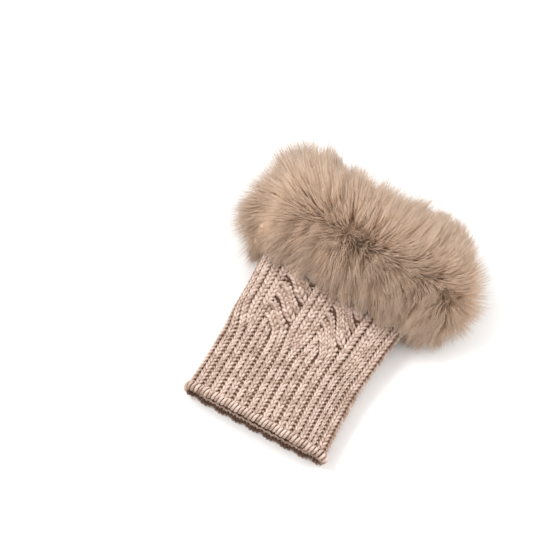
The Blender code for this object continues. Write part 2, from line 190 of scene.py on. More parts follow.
# A purl bump: one bar across its column.
BAR = {
    "across": (-0.52, -0.28, 0.00, 0.28, 0.52),
    "up": (-0.20, 0.10, 0.20, 0.10, -0.20),
    "out": (-0.30, 0.02, 0.14, 0.02, -0.30),
    "radius": (0.20, 0.26, 0.28, 0.26, 0.20),
}
# A cast-on loop: over the hem from its outer face to its inner one, leaning to the right.
LOOP = {
    "across": (0.30, 0.16, -0.02, -0.16, -0.24),
    "up": (1.30, 0.55, -0.10, 0.15, 0.90),
    "out": (0.05, 0.22, -0.16, -0.62, -0.80),
    "radius": (0.18, 0.22, 0.23, 0.22, 0.18),
}
TWIST = 9.0  # how far the yarn's plies turn along one piece of it, in radians
DEPTH_MIDDLE = 0.01  # height in a stitch where the painted shade is neither light nor dark, in stitch widths
DEPTH_SPAN = 1.15

# Wool: how much each part of the pattern lightens or darkens it. Real fibres are too fine to show in the
# render, so the fuzz is drawn in tufts of 0.55 mm that also paint highlight specks, with soft patches 17 mm
# across. The ply lines are painted highlight and shade round the yarn; the tone from stitch to stitch and the
# patches are the wool's own.
YARN_SHADES = {"fuzz_and_glints": 0.80, "ply_light_and_shade": 0.13, "tone": 0.28, "cloud": 0.06}
FUZZ_PER_METRE = 1800.0
PATCHES_PER_METRE = 60.0
FLUFF_PER_METRE = 900.0  # tufts of undercoat 1.1 mm across

# How the fur is combed: it parts along the middle of the strip and fans out to both sides from one place, where
# it swirls a little.
PARTING_SHARE = 0.225
PARTING_ANGLE = 2.0
COMB_TILT = 36.0
TILT_REACH = 26.0
COMB_FAN = 0.080
FAN_SHARPNESS = 2.0
COMB_SWIRL = 34.0
SWIRL_REACH = (0.45, 50.0)
DEGREE_OF_SHARE = 0.0021  # the share of the way round that is as long as one degree over the pile
FLATTEST = 89.0

# How far the hair's tips reach, to the pile's edge or past it: towards the fingers, outwards, and back over the
# knit. It changes from one to another between these angles.
FRINGE = {
    "round": (0.00, 0.05, 0.10, 0.17, 0.25, 0.32, 0.40, 0.50, 0.60, 0.75, 0.90),
    "forward": (1.10, 0.99, 0.88, 0.94, 1.19, 1.18, 1.12, 0.98, 1.00, 1.00, 1.10),
    "out": (1.16, 1.14, 1.06, 1.00, 1.00, 1.00, 1.00, 1.00, 1.00, 1.00, 1.12),
    "back": (1.04, 1.03, 1.02, 1.00, 1.00, 1.00, 0.92, 0.84, 0.88, 0.90, 1.00),
}
TO_FORWARD = (0.0, 55.0)
TO_BACK = (10.0, -45.0)

# Locks that the hair gathers into at the cuff's edges
CLUMPING = 0.085  # how unevenly the locks end
WIDE_LOCKS = 13
NARROW_LOCKS = 31
NARROW_SIZE = 0.8
NARROW_START = 1.0
LOCK_WANDER = 0.35
WIDE_PULL = 0.011
NARROW_PULL = 0.004
LOCKS_BACK = (0.0, -45.0)
LOCKS_FORWARD = (15.0, 60.0)
FORWARD_SIZE = 0.5

SCALP_REACH = 0.50
SCALP_AROUND = 200
SCALP_ACROSS = 31
BARE_BELOW = 0.0015  # height up to which the fur lies on the floor, with no hair
HAIR_TAPER = 0.55
WANDERS_PER_METRE = 75.0  # hair bends together in patches 13 mm across
WANDER = 0.95
# Painted shade between the tufts, growing with distance from a tuft's middle.
TUFT_SHADE = -0.22
HAIR_SHADE = 0.14

# Coats of hair, from the dense short one to the long guard hairs.
COATS = {
    "name": ("fur_soft_coat", "fur_mid_coat", "fur_guard_hairs"),
    "Hairs per Square Metre": (1050000.0, 1050000.0, 600000.0),
    "Width": (0.00021, 0.00018, 0.00013),
    "Shortest": (0.50, 0.70, 0.82),
    "Longest": (0.85, 0.98, 1.08),
    "Tuft Size": (0.0110, 0.0080, 0.0055),
    "Tuft Pull": (0.7, 0.9, 0.9),
    "Stray": (0.14, 0.11, 0.12),
    "Bow": (0.08, 0.09, 0.09),
    "Shade": (0.10, 0.17, 0.25),
    "Seed": (3, 17, 41),
    "rings": (2, 2, 3),
}

# Camera, from the photo
CAMERA_AZIMUTH = 28.0
CAMERA_ELEVATION = 62.0
CAMERA_DISTANCE = 0.738
CAMERA_LENS = 80.0
CAMERA_AIM = Vector((-0.0449, 0.0017, 0.015))


def smooth_step(low, high, value):
    share = np.clip((value - low) / (high - low), 0.0, 1.0)
    return share * share * (3.0 - 2.0 * share)


def along_table(table, key, column, at):
    """Smooth values from a table, between its rows."""
    places, values = np.array(table[key], float), np.array(table[column], float)
    slopes = np.gradient(values, places)
    at = np.clip(at, places[0], places[-1])
    row = np.clip(np.searchsorted(places, at) - 1, 0, len(places) - 2)
    span = places[row + 1] - places[row]
    t = (at - places[row]) / span
    return (
        (2 * t**3 - 3 * t**2 + 1) * values[row]
        + (t**3 - 2 * t**2 + t) * slopes[row] * span
        + (-2 * t**3 + 3 * t**2) * values[row + 1]
        + (t**3 - t**2) * slopes[row + 1] * span
    )


def round_table(column, share, table=FUR_REACH):
    """Smooth values of a table at places round the tube."""
    places, values = table["round"], table[column]
    closed = {
        "round": (places[-1] - 1.0, *places, 1.0, 1.0 + places[1]),
        column: (values[-1], *values, values[0], values[1]),
    }
    return along_table(closed, "round", column, share % 1.0)


def section_outline():
    """The tube's flattened section: the share walked at each point from its left edge, and the points."""
    turn = np.linspace(math.pi, -math.pi, OUTLINE_STEPS + 1)
    c, s = np.cos(turn), np.sin(turn)
    power = np.where(s >= 0, 2.0 / UPPER_SQUARENESS, 2.0 / LOWER_SQUARENESS)
    across = np.sign(c) * np.abs(c) ** power
    up = np.sign(s) * np.abs(s) ** power
    steps = np.hypot(np.diff(across) * KNIT_WIDTH / 2, np.diff(up) * (HOLLOW / 2 + WALL))
    walked = np.concatenate([[0.0], np.cumsum(steps)])
    half = len(turn) // 2
    upper = 0.5 * walked[: half + 1] / walked[half]
    lower = 0.5 + 0.5 * (walked[half:] - walked[half]) / (walked[-1] - walked[half])
    return np.concatenate([upper, lower[1:]]), across, up, walked[-1]


SHARES, ACROSS, UP, ROUND_LENGTH = section_outline()
to_frame = np.zeros(3)


def tube_surface(share, along, out):
    """Points of the tube at shares of the way round, distances from the hem and distances out of the gutters.
    Past its hand end they go straight on."""
    share, along, out = np.broadcast_arrays(
        np.asarray(share, float) % 1.0, np.asarray(along, float), np.asarray(out, float)
    )
    past = np.maximum(along - KNIT_LENGTH, 0.0)
    along = along - past
    at = along / KNIT_LENGTH
    width = along_table(TUBE_SECTIONS, "along", "width", at) * KNIT_WIDTH / 2
    shift = along_table(TUBE_SECTIONS, "along", "shift", at) * KNIT_WIDTH
    lift = np.maximum(along_table(TUBE_SECTIONS, "along", "lift", at), 0.0) * LIFT
    height = along_table(TUBE_SECTIONS, "along", "hollow", at) * HOLLOW / 2 + WALL
    ahead, behind = (share + TANGENT_REACH) % 1.0, (share - TANGENT_REACH) % 1.0
    tx = (np.interp(ahead, SHARES, ACROSS) - np.interp(behind, SHARES, ACROSS)) * width
    tz = (np.interp(ahead, SHARES, UP) - np.interp(behind, SHARES, UP)) * height
    size = np.hypot(tx, tz)
    x = np.interp(share, SHARES, ACROSS) * width - tz / size * out
    z = np.interp(share, SHARES, UP) * height + tx / size * out
    slant = HEM_SLANT + (FUR_SLANT - HEM_SLANT) * smooth_step(0.0, STRIP_START, along)
    high = z + height + RIB_HEIGHT + lift
    return np.stack([x + shift, along + past - slant * x, high], axis=-1) + to_frame


def place_in_frame():
    """Where this script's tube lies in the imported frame: the shift between the two boxes of the knit."""
    low, high = (np.array(corner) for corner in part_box("knit_tube"))
    around, lengthwise = BOX_SAMPLES
    share, along = np.meshgrid(np.linspace(0, 1, around), np.linspace(0, KNIT_LENGTH, lengthwise))
    own = tube_surface(share, along, RIB_HEIGHT).reshape(-1, 3)
    middle = (low + high) / 2 - (own.min(axis=0) + own.max(axis=0)) / 2
    return np.array([middle[0], middle[1], 0.0])


to_frame = place_in_frame()


def gutter_share(kind, place):
    """Share of the way round at a place that is counted in gutters of the upper face."""
    return np.interp(place, np.arange(len(GUTTERS[kind])), GUTTERS[kind]) / 2


def worked_at(along):
    return smooth_step(RIBBED_LENGTH - SHIFTING / 2, RIBBED_LENGTH + SHIFTING / 2, along)


def mixed(plain, worked, along):
    return plain + (worked - plain) * worked_at(along)


def rows_along(start, end):
    """Distances from the hem of the stitches of a straight column: shorter rows in the ribs."""
    along = [FIRST_ROW]
    while along[-1] < end:
        along.append(along[-1] + float(mixed(RIBBED_ROW, CABLED_ROW, along[-1])))
    return np.array([a for a in along if start <= a <= end])


def under_share(part, along):
    """Share of the way round at a part of the way over the lower face, from its left edge."""
    last = (GUTTERS["ribbed"][-1] / 2, GUTTERS["cabled"][-1] / 2)
    first = (1.0 + GUTTERS["ribbed"][0] / 2, 1.0 + GUTTERS["cabled"][0] / 2)
    return mixed(*(a + part * (b - a) for a, b in zip(last, first)), along)


def unit(vectors):
    return vectors / np.linalg.norm(vectors, axis=1, keepdims=True)


def stitch_frames(share, along, out, width, lean):
    """Place, size and directions of each stitch of a column, from its path over the tube."""
    share, along, out, width, lean = np.broadcast_arrays(share, along, out, width, np.radians(lean))
    place = tube_surface(share, along, out)
    step = np.gradient(place, axis=0)
    up = unit(step)
    outwards = tube_surface(share, along, out + PROBE) - place
    outwards = unit(outwards - (outwards * up).sum(axis=1, keepdims=True) * up)
    right = np.cross(up, outwards)
    outwards = outwards * np.cos(lean)[:, None] + right * np.sin(lean)[:, None]
    size = np.stack([width, np.linalg.norm(step, axis=1), width], axis=1)
    return {"place": place, "up": up, "out": outwards, "size": size}


def joined(columns):
    return {key: np.concatenate([column[key] for column in columns]) for key in columns[0]}


def upper_columns(start, end):
    """The stitches of the upper face outside the cables, between two distances from the hem."""
    made = []
    for plain, worked, width, lean, new in zip(*COLUMNS.values()):
        along = rows_along(max(start, TURN_START) if new else start, end)
        if len(along) < 2:
            continue
        share = mixed(gutter_share("ribbed", plain), gutter_share("cabled", worked), along)
        rib = math.floor(plain)
        rib_width = gutter_share("ribbed", rib + 1) - gutter_share("ribbed", rib)
        rib_width *= ROUND_LENGTH * RIB_FILL * RIB_STITCH
        plain_lean = RIB_ROLL * np.sign(plain - rib - 0.5)
        sunk = TURN_DEPTH * (1.0 - smooth_step(TURN_START, TURN_END, along)) if new else 0.0
        size = mixed(rib_width, width / 1000, along)
        made.append(
            stitch_frames(share, along, RIB_HEIGHT - STITCH_DEPTH - sunk, size, mixed(plain_lean, lean, along))
        )
    return made


def cable_height(cable, across, along):
    """How far a cable's face stands out, across it from -1 to 1, as in the solids."""
    half_fall = 0.5 * cable["fall"] * cable["turn"]
    past_notch = along - cable["notch"] + half_fall * (1.0 + np.sin(np.pi * across / 2))
    strand = (past_notch / cable["turn"]) % 1.0
    ridge = 1.0 - STRAND_NOTCH * np.abs(2.0 * strand - 1.0) ** STRAND_SQUARENESS
    return CABLE_HEIGHT * ridge * (1.0 - np.clip(np.abs(across), 0, 1) ** CABLE_SQUARENESS)


def spaced(path, gap):
    """The path again, with points a gap apart along its first two columns."""
    run = np.concatenate([[0.0], np.cumsum(np.hypot(*np.diff(path[:, :2], axis=0).T))])
    at = np.arange(0.0, run[-1], gap)
    return np.stack([np.interp(at, run, path[:, k]) for k in range(path.shape[1])], axis=1)


def rounded(path, times):
    """The path with its corners eased."""
    for _ in range(times):
        path[1:-1] = 0.25 * path[:-2] + 0.5 * path[1:-1] + 0.25 * path[2:]
    return path


def cable_columns(cable, count):
    """The stitches of one cable: ribs from the hem that turn into its first strands, and then strand on strand,
    each crossing from the right to the left, this many columns wide."""
    left, right = (gutter_share("cabled", cable[end]) for end in ("from_gutter", "to_gutter"))
    half = (right - left) / 2 * ROUND_LENGTH
    fall, turn = cable["fall"] * cable["turn"], cable["turn"]
    plain_shares = [gutter_share("ribbed", cable["from_gutter"] + k) for k in range(3)]
    rib_width = (plain_shares[1] - plain_shares[0]) * ROUND_LENGTH * RIB_FILL * RIB_STITCH
    flat = RIB_HEIGHT - STITCH_DEPTH
    last = math.ceil((KNIT_END + UNDER_FUR - cable["notch"]) / turn)
    made = []

    def line(strand, phase, across):
        """Distance from the hem of a strand's column where it is this far across."""
        return cable["notch"] + turn * (strand + phase) - 0.5 * fall * (1.0 + np.sin(np.pi * across / 2))

    def fitting(across):
        """Width of a column that fills its share of the strand here."""
        slope = 0.25 * np.pi * fall * np.cos(np.pi * across / 2)
        tapered = 1.0 - STRAND_TAPER * np.abs(across) ** 5
        return STRAND_FILL * turn / count * half / np.hypot(half, slope) * tapered

    def height(across, along):
        """How far out a strand's column lies: on the cable's face, and dipping at its sides."""
        return cable_height(cable, across, along) - STITCH_DEPTH - STRAND_DIVE * np.abs(across) ** 6

    def add(across, along, out, lean, width):
        path = np.stack(np.broadcast_arrays(across * half, along, out, lean, width), axis=1)
        path = spaced(rounded(spaced(path, PATH_GAP), PATH_EASING), CABLED_ROW)
        worked = worked_at(path[:, 1])
        share = (left + right) / 2 + path[:, 0] / half * (right - left) / 2
        straight = np.interp(path[:, 0] / half, (-1.0, 0.0, 1.0), plain_shares)
        share = straight + (share - straight) * worked
        made.append(stitch_frames(share, path[:, 1], path[:, 2], path[:, 4], path[:, 3]))

    for side in (-1, 1) if count == 2 else (-1, 0, 1):
        phase = 0.5 + side * STRAND_SPREAD[count]
        if side:
            x = -0.5 + side * RIB_COLUMN
            along = np.linspace(FIRST_ROW, line(0, TUCKED_AT, x), PATH_POINTS)
            tucked = TUCK_DEPTH * smooth_step(along[-1] - TUCK_LENGTH, along[-1], along)
            add(np.full(PATH_POINTS, x), along, flat - tucked, side * RIB_ROLL, rib_width)

        x = 0.5 + side * RIB_COLUMN
        turn_at = line(0, phase, x)
        up = np.linspace(FIRST_ROW, turn_at, PATH_POINTS)[:-1]
        over = np.linspace(x, -STRAND_REACH, OVER_POINTS)
        along = np.concatenate([up, line(0, phase, over)])
        across = np.concatenate([np.full(len(up), x), over])
        raised = smooth_step(turn_at + RISING[0], turn_at + RISING[1], along)
        raised[len(up) :] = 1.0
        start = flat if side else flat - MIDDLE_DEPTH
        out = start + (height(across, along) - start) * raised
        width = rib_width + (fitting(across) - rib_width) * raised
        add(across, along, out, side * (RIB_ROLL + (CABLE_ROLL - RIB_ROLL) * raised), width)

        for strand in range(1, last):
            over = np.linspace(STRAND_REACH, -STRAND_REACH, PATH_POINTS)
            along = line(strand, phase, over)
            add(over, along, height(over, along), side * CABLE_ROLL, fitting(over))
    return made


def lower_columns():
    """The plain ribs of the lower face."""
    made = []
    along = rows_along(0.0, KNIT_END)
    across = 1.0 + GUTTERS["ribbed"][0] / 2 - GUTTERS["ribbed"][-1] / 2
    width = across / UNDER_RIBS * ROUND_LENGTH * RIB_FILL * RIB_STITCH
    for rib in range(UNDER_RIBS):
        for side in (-1, 1):
            share = under_share((rib + 0.5 + side * RIB_STITCH / 2) / UNDER_RIBS, along)
            made.append(stitch_frames(share, along, RIB_HEIGHT - UNDER_DEPTH, width, side * RIB_ROLL))
    return made


def gutter_bars():
    """Purl bumps down every gutter, upper and lower."""
    made = []
    along = rows_along(0.0, KNIT_END)
    for gutter, kept in enumerate(GUTTERS["kept"]):
        share = mixed(gutter_share("ribbed", gutter), gutter_share("cabled", gutter), along)
        out = np.where((kept > 0) | (along < TURN_START), 0.0, -TURN_DEPTH) - GUTTER_DEPTH
        made.append(stitch_frames(share, along, out, BAR_WIDTH, 0.0))
    for rib in range(1, UNDER_RIBS):
        share = under_share(rib / UNDER_RIBS, along)
        made.append(stitch_frames(share, along, -GUTTER_DEPTH, UNDER_BAR_WIDTH, 0.0))
    return made


def inner_bars(start, end):
    """Purl bumps on the inside, where an open end shows it."""
    made = []
    along = rows_along(start, end)
    width = ROUND_LENGTH / INNER_COLUMNS
    for k in range(INNER_COLUMNS):
        column = stitch_frames(np.full(len(along), k / INNER_COLUMNS), along, -WALL - INNER_GAP, width, 0.0)
        column["out"] = -column["out"]
        made.append(column)
    return made


def rib_swell(share, along):
    """How far a place is up its rib, from 0 in a gutter to 1 on the crest, all the way round."""
    upper = mixed(np.array(GUTTERS["ribbed"]), np.array(GUTTERS["cabled"]), along)
    ribs = np.concatenate([upper, np.linspace(upper[-1], 2.0 + upper[0], UNDER_RIBS + 1)[1:]])
    place = (2.0 * share - ribs[0]) % 2.0 + ribs[0]
    return np.sin(np.pi * (np.interp(place, ribs, np.arange(len(ribs))) % 1.0))


def hem_loops(along, towards):
    """Cast-on loops round an open end. Towards is 1 at the hem and -1 at the hand end."""
    share = np.arange(LOOPS) / LOOPS
    swell = HEM_SCALLOP * rib_swell(share, along)
    along = along - towards * swell
    out = LOOP_HEIGHT * RIB_HEIGHT + swell
    place = tube_surface(share, along, out)
    ahead = tube_surface(share, along + PROBE * towards, out) - place
    outwards = tube_surface(share, along, out + PROBE) - place
    size = np.tile((ROUND_LENGTH / LOOPS * LOOP_SIZE[0], *LOOP_SIZE[1:]), (LOOPS, 1))
    return [{"place": place, "up": unit(ahead), "out": unit(outwards), "size": size}]


def hex_colour(text):
    """An sRGB hex value as linear red, green, blue and alpha."""
    channels = [int(text[k : k + 2], 16) / 255 for k in (1, 3, 5)]
    return [c / 12.92 if c <= 0.04045 else ((c + 0.055) / 1.055) ** 2.4 for c in channels] + [1.0]


def add_node(tree, kind, settings=None, inputs=None):
    """Adds a node with its settings, and its inputs as values or as links. Inputs go by name, or in order as a
    list. A link comes from a socket, or from a node's first output."""
    node = tree.nodes.new(kind)
    for name, value in (settings or {}).items():
        setattr(node, name, value)
    pairs = enumerate(inputs) if isinstance(inputs, list) else (inputs or {}).items()
    for name, value in pairs:
        if isinstance(value, bpy.types.Node):
            value = value.outputs[0]
        if isinstance(value, bpy.types.NodeSocket):
            tree.links.new(value, node.inputs[name])
        else:
            node.inputs[name].default_value = value
    return node


def new_material(name):
    """A material with an empty tree and its output."""
    made = bpy.data.materials.new(name)
    made.use_nodes = True
    made.node_tree.nodes.clear()
    output = add_node(made.node_tree, "ShaderNodeOutputMaterial")
    return made, made.node_tree, output


def set_stops(node, stops):
    """Sets a colour ramp's stops from places and hex colours."""
    elements = node.color_ramp.elements
    while len(elements) < len(stops):
        elements.new(0.5)
    for element, (place, colour) in zip(elements, stops):
        element.position = place
        element.color = hex_colour(colour)


def merino_yarn(name, light, dark):
    """Soft plied merino wool: matt, with a little fuzz, and painted light and shade: lighter where the yarn bulges
    and darker where it dives. The plies show as slanting lines of painted highlight and shade round the yarn, and
    the fuzz also paints highlight specks."""
    made, tree, output = new_material(name)
    add = functools.partial(add_node, tree)
    place = add("ShaderNodeTexCoord").outputs["Object"]
    depth, twist, tone = (
        add("ShaderNodeAttribute", {"attribute_name": label}).outputs["Fac"] for label in ("depth", "twist", "tone")
    )
    # Painted highlight and shade in slanting lines along the plies.
    ply_light_and_shade = add("ShaderNodeMath", {"operation": "SINE"}, [twist])
    # Fuzz in tufts, which also paints highlight specks on the wool.
    fuzz_and_glints, cloud = (
        add("ShaderNodeTexNoise", inputs={"Vector": place, "Scale": scale, "Detail": detail}).outputs["Fac"]
        for scale, detail in ((FUZZ_PER_METRE, 3.0), (PATCHES_PER_METRE, 2.0))
    )
    mix = depth
    for value, weight in zip((fuzz_and_glints, ply_light_and_shade, tone, cloud), YARN_SHADES.values()):
        mix = add("ShaderNodeMath", {"operation": "MULTIPLY_ADD"}, [value, weight, mix])
    colour = add("ShaderNodeValToRGB", inputs={"Fac": mix})
    # Dark stops paint shade where the yarn dives, light ones paint light where it bulges and on the fuzz's specks.
    set_stops(colour, ((0.06, dark), (0.48, light[0]), (0.96, light[1])))
    height = add("ShaderNodeMath", {"operation": "MULTIPLY_ADD"}, [fuzz_and_glints, 0.6, ply_light_and_shade])
    bump = add("ShaderNodeBump", inputs={"Strength": 0.5, "Distance": 0.0002, "Height": height})
    shader = add(
        "ShaderNodeBsdfPrincipled",
        inputs={
            "Base Color": colour,
            "Roughness": 0.85,
            "Specular IOR Level": 0.25,
            "Sheen Weight": 0.35,
            "Sheen Roughness": 0.5,
            "Sheen Tint": hex_colour("#F4E4D8"),
            "Normal": bump,
        },
    )
    tree.links.new(shader.outputs[0], output.inputs["Surface"])
    return made


def fur_hair(name, stops):
    """Soft guard hair over a dense undercoat: darker at the root and pale at the tip, with a slight gloss."""
    made, tree, output = new_material(name)
    add = functools.partial(add_node, tree)
    tip, shade = (
        add("ShaderNodeAttribute", {"attribute_name": label}).outputs["Fac"] for label in ("tip", "shade")
    )
    mix = add("ShaderNodeMath", {"operation": "MULTIPLY_ADD"}, [tip, 0.62, shade])
    colour = add("ShaderNodeValToRGB", inputs={"Fac": mix})
    set_stops(colour, stops)
    shader = add(
        "ShaderNodeBsdfPrincipled",
        inputs={
            "Base Color": colour,
            "Roughness": 0.52,
            "Specular IOR Level": 0.30,
            "Sheen Weight": 0.25,
            "Sheen Roughness": 0.4,
            "Sheen Tint": hex_colour("#F1E0D2"),
        },
    )
    tree.links.new(shader.outputs[0], output.inputs["Surface"])
    return made


def fur_undercoat_wool(name):
    """Dense woolly undercoat: dull and pale brown, seen only as shade between the hairs."""
    made, tree, output = new_material(name)
    add = functools.partial(add_node, tree)
    place = add("ShaderNodeTexCoord").outputs["Object"]
    fluff = add("ShaderNodeTexNoise", inputs={"Vector": place, "Scale": FLUFF_PER_METRE, "Detail": 3.0})
    fluff = fluff.outputs["Fac"]
    colour = add("ShaderNodeValToRGB", inputs={"Fac": fluff})
    set_stops(colour, ((0.3, "#C6A58A"), (0.7, "#E4C6AB")))
    bump = add("ShaderNodeBump", inputs={"Strength": 0.8, "Distance": 0.001, "Height": fluff})
    shader = add("ShaderNodeBsdfPrincipled", inputs={"Base Color": colour, "Roughness": 0.95, "Normal": bump})
    tree.links.new(shader.outputs[0], output.inputs["Surface"])
    return made


def new_object(name, mesh):
    made = bpy.data.objects.new(name, mesh)
    bpy.context.scene.collection.objects.link(made)
    return made


def grid_mesh(name, rings):
    """A mesh of rings of equal size, joined to each other and the last to the first."""
    points = np.array(rings)
    rows, count = points.shape[:2]
    index = np.arange(rows * count).reshape(rows, count)
    after, above = np.roll(index, -1, axis=1), np.roll(index, -1, axis=0)
    faces = np.stack([index, after, np.roll(after, -1, axis=0), above], axis=-1).reshape(-1, 4)
    mesh = bpy.data.meshes.new(name)
    mesh.from_pydata(points.reshape(-1, 3).tolist(), [], faces.tolist())
    mesh.shade_smooth()
    return mesh


def add_attribute(mesh, name, kind, values):
    data = mesh.attributes.new(name, kind, "POINT").data
    data.foreach_set("vector" if kind == "FLOAT_VECTOR" else "value", np.asarray(values, np.float32).ravel())


def yarn_piece(name, shape, sides, steps, both):
    """A short length of yarn from a table of its path, closed at both ends, and its mirror image if both."""
    t = np.linspace(0.0, 1.0, steps)
    table = {"at": np.linspace(0.0, 1.0, len(shape["up"])), **shape}
    path = np.stack([along_table(table, "at", key, t) for key in ("across", "up", "out")], axis=1)
    radius = along_table(table, "at", "radius", t)
    ahead = unit(np.gradient(path, axis=0))
    side = unit(np.cross(ahead, (0.0, 0.0, 1.0)))
    other = np.cross(side, ahead)
    points, faces, depth, twist = [], [], [], []
    for mirror in (1, -1) if both else (1,):
        start = len(points)
        for k in range(steps):
            for n in range(sides):
                turn = 2 * math.pi * n / sides
                spot = path[k] + radius[k] * (math.cos(turn) * side[k] + math.sin(turn) * other[k])
                points.append((spot[0] * mirror, spot[1], spot[2]))
                depth.append(spot[2])
                twist.append(mirror * turn + t[k] * TWIST)
        ends = (len(points), len(points) + 1)
        for k in (0, steps - 1):
            points.append((path[k][0] * mirror, path[k][1], path[k][2]))
            depth.append(path[k][2])
            twist.append(0.0)
        for n in range(sides):
            after = (n + 1) % sides
            for k in range(steps - 1):
                a, b = start + k * sides, start + (k + 1) * sides
                faces.append((a + n, a + after, b + after, b + n)[::mirror])
            top = start + (steps - 1) * sides
            faces.append((ends[0], start + after, start + n)[::mirror])
            faces.append((ends[1], top + n, top + after)[::mirror])
    mesh = bpy.data.meshes.new(name)
    mesh.from_pydata(points, [], faces)
    mesh.shade_smooth()
    # Heights of the yarn, which the wool turns into painted shade where it dives and painted light where it bulges.
    add_attribute(mesh, "depth", "FLOAT", (np.array(depth) - DEPTH_MIDDLE) / DEPTH_SPAN)
    add_attribute(mesh, "twist", "FLOAT", twist)
    made = new_object(name, mesh)
    made.hide_render = True
    return made


def socket_id(tree, name):
    return next(item.identifier for item in tree.interface.items_tree if item.name == name)


def new_geometry_tree(name, inputs):
    """A Geometry Nodes tree with a geometry in and out, the named inputs, and its end."""
    tree = bpy.data.node_groups.new(name, "GeometryNodeTree")
    tree.interface.new_socket("Geometry", in_out="INPUT", socket_type="NodeSocketGeometry")
    tree.interface.new_socket("Geometry", in_out="OUTPUT", socket_type="NodeSocketGeometry")
    for label, kind in inputs.items():
        tree.interface.new_socket(label, in_out="INPUT", socket_type=kind)
    return tree, add_node(tree, "NodeGroupInput").outputs, add_node(tree, "NodeGroupOutput")


def above_floor(tree, real, position):
    """Moves the points of realized instances to a position, but none of them under the floor."""
    add = functools.partial(add_node, tree)
    apart = add("ShaderNodeSeparateXYZ", inputs=[position])
    high = add("ShaderNodeMath", {"operation": "MAXIMUM"}, [apart.outputs["Z"], FLOOR_GAP])
    above = add("ShaderNodeCombineXYZ", inputs=[apart.outputs["X"], apart.outputs["Y"], high])
    return add("GeometryNodeSetPosition", inputs={"Geometry": real, "Position": above})


def stitch_tree():
    """Sets a length of yarn at every point, turned and sized by the point's own attributes."""
    tree, given, output = new_geometry_tree(
        "stitches_on_points",
        {"Yarn": "NodeSocketObject", "Tone Seed": "NodeSocketInt", "Material": "NodeSocketMaterial"},
    )
    add = functools.partial(add_node, tree)
    up, out, size = (
        add("GeometryNodeInputNamedAttribute", {"data_type": "FLOAT_VECTOR"}, {"Name": name})
        for name in ("up", "out", "size")
    )
    turn = add(
        "FunctionNodeAxesToRotation",
        {"primary_axis": "Y", "secondary_axis": "Z"},
        {"Primary Axis": up.outputs["Attribute"], "Secondary Axis": out.outputs["Attribute"]},
    )
    yarn = add("GeometryNodeObjectInfo", inputs={"Object": given["Yarn"]})
    points = add("GeometryNodeMeshToPoints", inputs={"Mesh": given["Geometry"]})
    placed = add(
        "GeometryNodeInstanceOnPoints",
        inputs={
            "Points": points,
            "Instance": yarn.outputs["Geometry"],
            "Rotation": turn,
            "Scale": size.outputs["Attribute"],
        },
    )
    tone = add("FunctionNodeRandomValue", {"data_type": "FLOAT"}, {"Seed": given["Tone Seed"]})
    stored = add(
        "GeometryNodeStoreNamedAttribute",
        {"data_type": "FLOAT", "domain": "INSTANCE"},
        {"Geometry": placed, "Name": "tone", "Value": tone.outputs["Value"]},
    )
    real = add("GeometryNodeRealizeInstances", inputs={"Geometry": stored})
    pressed = above_floor(tree, real, add("GeometryNodeInputPosition"))
    dressed = add("GeometryNodeSetMaterial", inputs={"Geometry": pressed, "Material": given["Material"]})
    tree.links.new(dressed.outputs["Geometry"], output.inputs["Geometry"])
    return tree


def grown(source, tree, name, settings):
    """The tree's result on an object, as a plain mesh object of its own."""
    modifier = source.modifiers.new("grow", "NODES")
    modifier.node_group = tree
    for label, value in settings.items():
        modifier[socket_id(tree, label)] = value
    bpy.context.view_layer.update()
    mesh = bpy.data.meshes.new_from_object(source.evaluated_get(bpy.context.evaluated_depsgraph_get()))
    mesh.name = name
    source.modifiers.remove(modifier)
    return new_object(name, mesh)


def knit_piece(name, columns, yarn, material, tree, seed):
    """A piece of knit from its stitches' places."""
    stitches = joined(columns)
    mesh = bpy.data.meshes.new(name + "_places")
    mesh.from_pydata(stitches["place"].tolist(), [], [])
    for key in ("up", "out", "size"):
        add_attribute(mesh, key, "FLOAT_VECTOR", stitches[key])
    places = new_object(name + "_places", mesh)
    made = grown(places, tree, name, {"Yarn": yarn, "Tone Seed": seed, "Material": material})
    bpy.data.objects.remove(places)
    return made


def knit_wall(material):
    """The knit's own thickness under the stitches, hollow, with its mouth at each end. It carries painted shade:
    dark in the gutters, under the cables and inside.
    """
    share = np.arange(WALL_AROUND) / WALL_AROUND
    rings, painted_shades = [], []
    for along in np.linspace(WALL_START, WALL_END, WALL_OUTSIDE):
        out = WALL_FLOOR + WALL_RISE * rib_swell(share, along) ** WALL_ROUNDING
        shade = np.zeros(WALL_AROUND)
        for cable in CABLES:
            left, right = (gutter_share("cabled", cable[end]) for end in ("from_gutter", "to_gutter"))
            across = (share - (left + right) / 2) / ((right - left) / 2)
            risen = cable_height(cable, across, along) - CABLE_WALL_DEPTH
            inside = (np.abs(across) < 1) * smooth_step(RIBBED_LENGTH, RIBBED_LENGTH + 0.01, along)
            out = out + np.maximum(risen - out, 0.0) * inside * (along < STRIP_START)
            shade = np.maximum(shade, WALL_PAINTED_SHADE["cable"] * inside)
        rings.append(tube_surface(share, along, out))
        # Painted shade: darkest in the gutters, lighter up the ribs, darker under the cables.
        high = np.minimum(out - WALL_FLOOR, WALL_PAINTED_SHADE["top"])
        painted_shades.append(WALL_PAINTED_SHADE["gutter"] + WALL_PAINTED_SHADE["per_metre"] * high - shade)
    for along in np.linspace(WALL_END, WALL_START, WALL_INSIDE):
        rings.append(tube_surface(share, along, -WALL))
        # Painted shade on the inside of the tube.
        painted_shades.append(np.full(WALL_AROUND, WALL_PAINTED_SHADE["inside"]))
    mesh = grid_mesh("knit_wall", rings)
    add_attribute(mesh, "depth", "FLOAT", np.array(painted_shades))
    mesh.materials.append(material)
    return new_object("knit_wall", mesh)


